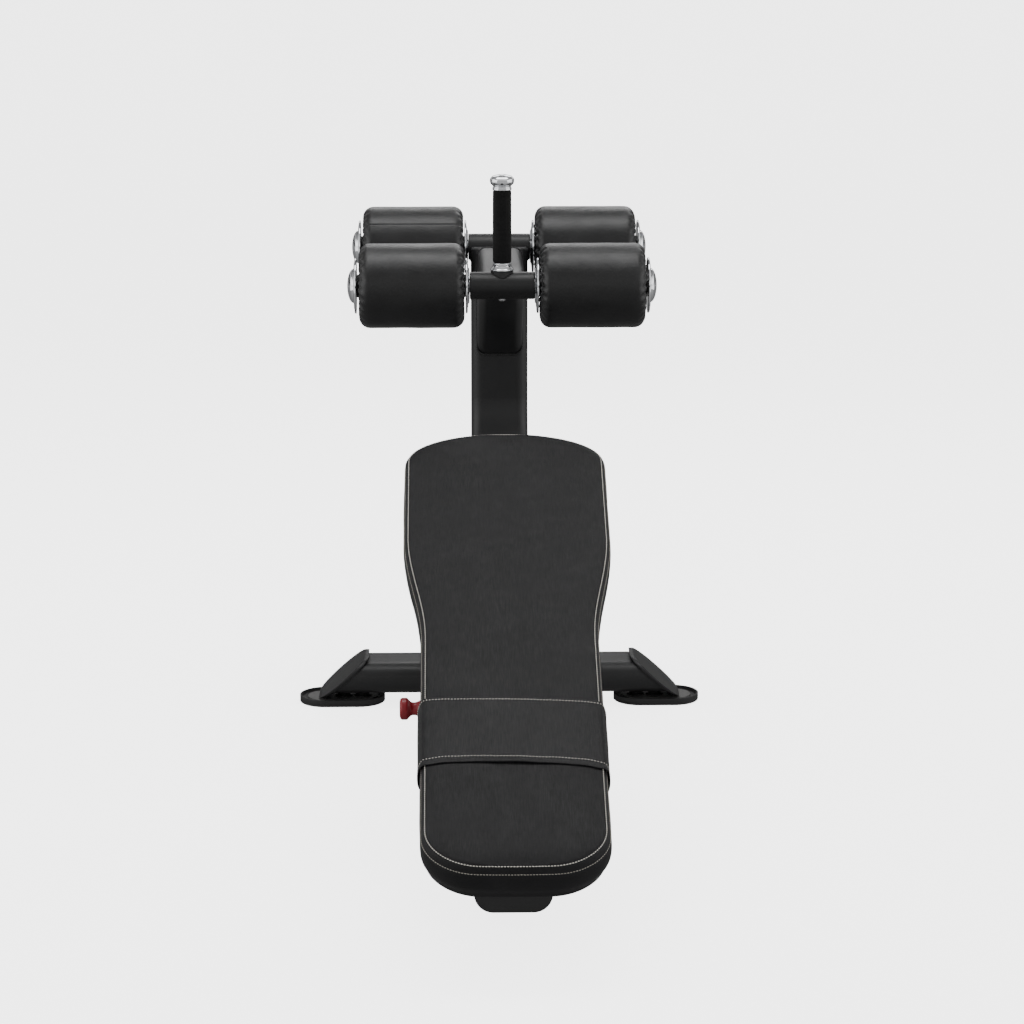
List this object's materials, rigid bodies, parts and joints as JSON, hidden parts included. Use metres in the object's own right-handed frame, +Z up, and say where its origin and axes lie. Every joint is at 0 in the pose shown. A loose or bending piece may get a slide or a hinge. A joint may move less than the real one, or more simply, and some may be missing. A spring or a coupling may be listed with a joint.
{
  "type": "decline sit up bench",
  "caption": "Floor-standing sit up bench: a padded board sloping down from leg rollers on a column, with tilt set by a sprung pull pin and a grab handle between the rollers.",
  "frame": {"origin": "centre of the bounding box's bottom face, so the bench stands on z = 0", "axes": "+Y runs along the bench from the head end up to the leg rollers, +X to the right of someone lying on it, +Z up"},
  "size_m": [0.759, 1.536, 1.039],
  "materials": {
    "powder_coat": "black powder coat, fine texture, semi-gloss",
    "chrome": "polished chrome plate",
    "steel": "zinc-plated, brushed",
    "spring_steel": "drawn spring wire",
    "rubber": "matte moulded rubber",
    "plastic_cap": "matte moulded plastic",
    "core_plastic": "matte moulded nylon",
    "grip_foam": "closed-cell foam grip, matte",
    "upholstery": "fine-grained black upholstery vinyl",
    "sleeve_vinyl": "fine-grained black vinyl wear cover",
    "roller_upholstery": "fine-grained black upholstery vinyl over foam",
    "plywood": "bare plywood",
    "red_plastic": "deep red moulded plastic",
    "bronze": "sintered bronze"
  },
  "bodies": {
    "frame": {"column": "powder_coat", "far_axle": "steel", "far_bar": "powder_coat", "foot_plate_left": "powder_coat", "foot_plate_right": "powder_coat", "foot_tray_left": "rubber", "foot_tray_right": "rubber", "front_foot": "rubber", "handle_bolt": "steel", "handle_cap": "chrome", "handle_collar": "chrome", "handle_grip": "grip_foam", "handle_post": "steel", "handle_saddle": "powder_coat", "hinge_lug_left": "powder_coat", "hinge_lug_right": "powder_coat", "hinge_nut": "steel", "hinge_pin": "steel", "main_beam": "powder_coat", "main_beam_front_cap": "plastic_cap", "near_axle": "steel", "near_bar": "powder_coat", "pin_barrel": "powder_coat", "pin_spring": "spring_steel", "rear_cross_tube": "powder_coat", "rear_end_plate_left": "powder_coat", "rear_end_plate_right": "powder_coat", "roller_arm": "powder_coat", "seat_support": "powder_coat", "selector_base": "powder_coat", "selector_cheek_left": "powder_coat", "selector_cheek_right": "powder_coat"},
    "bench": {"pad_cushion": "upholstery", "pad_board": "plywood", "wear_sleeve": "sleeve_vinyl", "pad_mount_plate_far": "powder_coat", "pad_mount_plate_near": "powder_coat", "carrier_tube": "powder_coat", "carrier_cap": "plastic_cap", "hinge_barrel": "powder_coat", "hinge_bush": "bronze", "selector_sector": "steel"},
    "pull_pin_assembly": {"pull_pin": "steel", "pull_knob": "red_plastic"},
    "far_roller_left": {"far_roller_left_pad": "roller_upholstery", "far_roller_left_core": "core_plastic", "far_roller_left_inner_flange": "chrome", "far_roller_left_outer_cap": "chrome"},
    "far_roller_right": {"far_roller_right_pad": "roller_upholstery", "far_roller_right_core": "core_plastic", "far_roller_right_inner_flange": "chrome", "far_roller_right_outer_cap": "chrome"},
    "near_roller_left": {"near_roller_left_pad": "roller_upholstery", "near_roller_left_core": "core_plastic", "near_roller_left_inner_flange": "chrome", "near_roller_left_outer_cap": "chrome"},
    "near_roller_right": {"near_roller_right_pad": "roller_upholstery", "near_roller_right_core": "core_plastic", "near_roller_right_inner_flange": "chrome", "near_roller_right_outer_cap": "chrome"}
  },
  "joints": [
    {"name": "bench_tilt", "type": "hinge", "parent": "frame", "child": "bench", "pos_m": [0, 0.10601, 0.43317], "axis": [-1, 0, 0], "range_deg": [0, 20]},
    {"name": "pull_pin_slide", "type": "slide", "parent": "frame", "child": "pull_pin_assembly", "axis": [-1, 0, 0], "range_m": [0, 0.02], "stiffness_N_per_m": 600, "springref_m": -0.008, "deforming": ["pin_spring"]},
    {"name": "far_roller_left_spin", "type": "hinge", "parent": "frame", "child": "far_roller_left", "pos_m": [0, 0.694, 0.87], "axis": [1, 0, 0], "continuous": true},
    {"name": "far_roller_right_spin", "type": "hinge", "parent": "frame", "child": "far_roller_right", "pos_m": [0, 0.694, 0.87], "axis": [1, 0, 0], "continuous": true},
    {"name": "near_roller_left_spin", "type": "hinge", "parent": "frame", "child": "near_roller_left", "pos_m": [0, 0.383, 0.844], "axis": [1, 0, 0], "continuous": true},
    {"name": "near_roller_right_spin", "type": "hinge", "parent": "frame", "child": "near_roller_right", "pos_m": [0, 0.383, 0.844], "axis": [1, 0, 0], "continuous": true}
  ]
}
